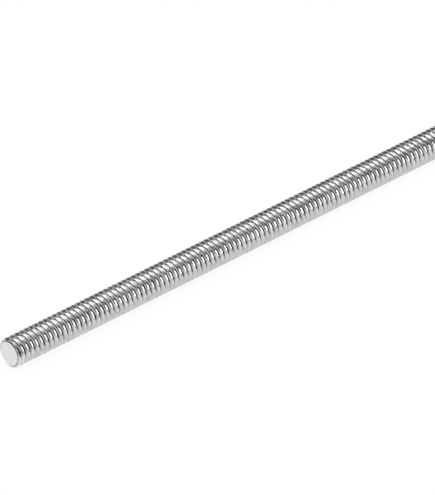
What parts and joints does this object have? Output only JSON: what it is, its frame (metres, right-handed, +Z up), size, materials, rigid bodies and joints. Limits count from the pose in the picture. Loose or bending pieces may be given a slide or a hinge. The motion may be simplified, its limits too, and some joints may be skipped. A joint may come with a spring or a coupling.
{
  "type": "threaded rod",
  "caption": "Straight steel rod threaded along its whole length, with flat chamfered ends, for joining, hanging or spacing parts with nuts.",
  "frame": {"origin": "centre of the near end face, on the rod's axis", "axes": "+X along the rod from the near end to the far end, +Z up, the rod lying level"},
  "size_m": [0.1524, 0.0064, 0.0064],
  "materials": {
    "plated_steel": "bright zinc plate over a rolled thread"
  },
  "bodies": {
    "root": {"threaded_rod": "plated_steel"}
  },
  "joints": []
}
